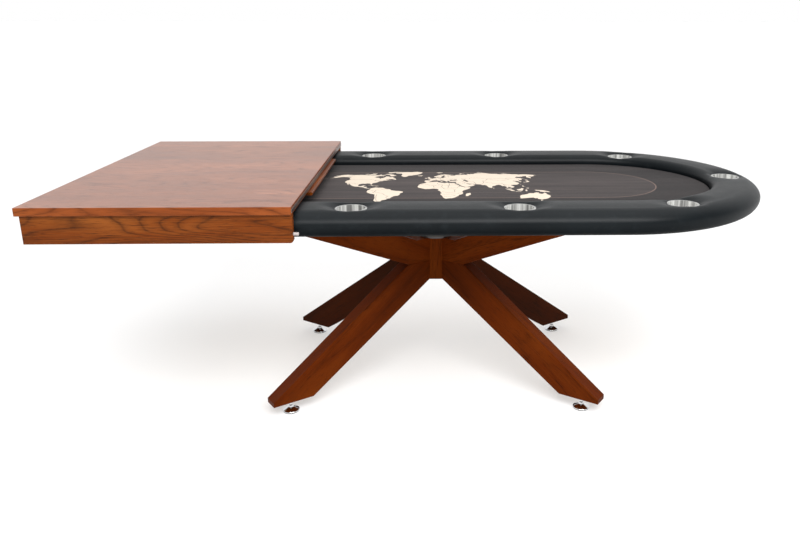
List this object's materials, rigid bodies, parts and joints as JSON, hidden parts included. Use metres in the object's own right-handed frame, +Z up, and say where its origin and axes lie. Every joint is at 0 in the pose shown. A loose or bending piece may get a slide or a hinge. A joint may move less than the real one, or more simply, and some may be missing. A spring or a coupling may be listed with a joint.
{
  "type": "convertible gaming table",
  "caption": "Racetrack gaming table with a padded rail, printed playing cloth and drop-in cups, on a crossed wooden base with levelling feet, with a lift-off section of its dining top.",
  "frame": {"origin": "on the floor, in the middle of the part's footprint; the centre post's axis is 23 mm from it along +X", "axes": "+Z up, +X along the table towards its open end, -Y towards the front"},
  "size_m": [2.3358, 1.192, 0.785],
  "materials": {
    "leaf_wood": "satin",
    "base_wood": "satin",
    "plywood": "matte",
    "dowel_wood": "matte",
    "vinyl": "satin",
    "foam": "matte",
    "printed_cloth": "matte",
    "felt": "matte",
    "cup_steel": "polished",
    "edge_strip_metal": "satin",
    "pin_plastic": "satin",
    "plate_steel": "satin",
    "foot_chrome": "polished",
    "foot_rubber": "matte",
    "fastener_steel": "satin"
  },
  "bodies": {
    "table": {"arm_back_left": "base_wood", "arm_back_right": "base_wood", "arm_front_left": "base_wood", "arm_front_right": "base_wood", "arm_plates": "plate_steel", "barrel_nuts": "fastener_steel", "cup_01": "cup_steel", "cup_02": "cup_steel", "cup_03": "cup_steel", "cup_04": "cup_steel", "cup_05": "cup_steel", "cup_06": "cup_steel", "cup_07": "cup_steel", "cup_08": "cup_steel", "cup_09": "cup_steel", "cup_10": "cup_steel", "deck_batten_back": "plywood", "deck_batten_front": "plywood", "deck_board": "plywood", "deck_screws": "fastener_steel", "field_underlay": "foam", "foot_inserts": "fastener_steel", "hub_plate": "plate_steel", "hub_post": "base_wood", "joint_dowels": "dowel_wood", "leg_back_left": "base_wood", "leg_back_right": "base_wood", "leg_front_left": "base_wood", "leg_front_right": "base_wood", "plate_screws": "fastener_steel", "playing_cloth": "printed_cloth", "rail_cover": "vinyl", "rail_foam": "foam", "rail_frame": "plywood", "tie_rods": "fastener_steel"},
    "leaf": {"apron_dowels": "dowel_wood", "leaf_apron_back": "leaf_wood", "leaf_apron_end": "leaf_wood", "leaf_apron_front": "leaf_wood", "leaf_corner_blocks": "leaf_wood", "leaf_edge_strip": "edge_strip_metal", "leaf_pads": "felt", "leaf_pins": "pin_plastic", "leaf_slab": "leaf_wood", "leaf_tongue": "leaf_wood", "tongue_screws": "fastener_steel"},
    "foot_front_left": {"foot_pad_front_left": "foot_chrome", "foot_sole_front_left": "foot_rubber"},
    "stem_front_left": {"foot_stem_front_left": "foot_chrome"},
    "foot_front_right": {"foot_pad_front_right": "foot_chrome", "foot_sole_front_right": "foot_rubber"},
    "stem_front_right": {"foot_stem_front_right": "foot_chrome"},
    "foot_back_left": {"foot_pad_back_left": "foot_chrome", "foot_sole_back_left": "foot_rubber"},
    "stem_back_left": {"foot_stem_back_left": "foot_chrome"},
    "foot_back_right": {"foot_pad_back_right": "foot_chrome", "foot_sole_back_right": "foot_rubber"},
    "stem_back_right": {"foot_stem_back_right": "foot_chrome"}
  },
  "joints": [
    {"name": "leaf_lift", "type": "slide", "parent": "table", "child": "leaf", "axis": [0, 0, 1], "range_m": [0, 0.3]},
    {"name": "foot_height_front_left", "type": "slide", "parent": "table", "child": "foot_front_left", "axis": [0, 0, 1], "range_m": [-0.02, 0.012]},
    {"name": "stem_turn_front_left", "type": "hinge", "parent": "foot_front_left", "child": "stem_front_left", "pos_m": [-0.47971, -0.34251, 0.03], "axis": [0, 0, 1], "range_deg": [-4801, 2881]},
    {"name": "foot_height_front_right", "type": "slide", "parent": "table", "child": "foot_front_right", "axis": [0, 0, 1], "range_m": [-0.02, 0.012]},
    {"name": "stem_turn_front_right", "type": "hinge", "parent": "foot_front_right", "child": "stem_front_right", "pos_m": [0.52571, -0.34251, 0.03], "axis": [0, 0, 1], "range_deg": [-4801, 2881]},
    {"name": "foot_height_back_left", "type": "slide", "parent": "table", "child": "foot_back_left", "axis": [0, 0, 1], "range_m": [-0.02, 0.012]},
    {"name": "stem_turn_back_left", "type": "hinge", "parent": "foot_back_left", "child": "stem_back_left", "pos_m": [-0.47971, 0.34251, 0.03], "axis": [0, 0, 1], "range_deg": [-4801, 2881]},
    {"name": "foot_height_back_right", "type": "slide", "parent": "table", "child": "foot_back_right", "axis": [0, 0, 1], "range_m": [-0.02, 0.012]},
    {"name": "stem_turn_back_right", "type": "hinge", "parent": "foot_back_right", "child": "stem_back_right", "pos_m": [0.52571, 0.34251, 0.03], "axis": [0, 0, 1], "range_deg": [-4801, 2881]}
  ],
  "couplings": [
    {"joint": "stem_turn_front_left", "follows": "foot_height_front_left", "rad_per_m": 4188.8},
    {"joint": "stem_turn_front_right", "follows": "foot_height_front_right", "rad_per_m": 4188.8},
    {"joint": "stem_turn_back_left", "follows": "foot_height_back_left", "rad_per_m": 4188.8},
    {"joint": "stem_turn_back_right", "follows": "foot_height_back_right", "rad_per_m": 4188.8}
  ]
}
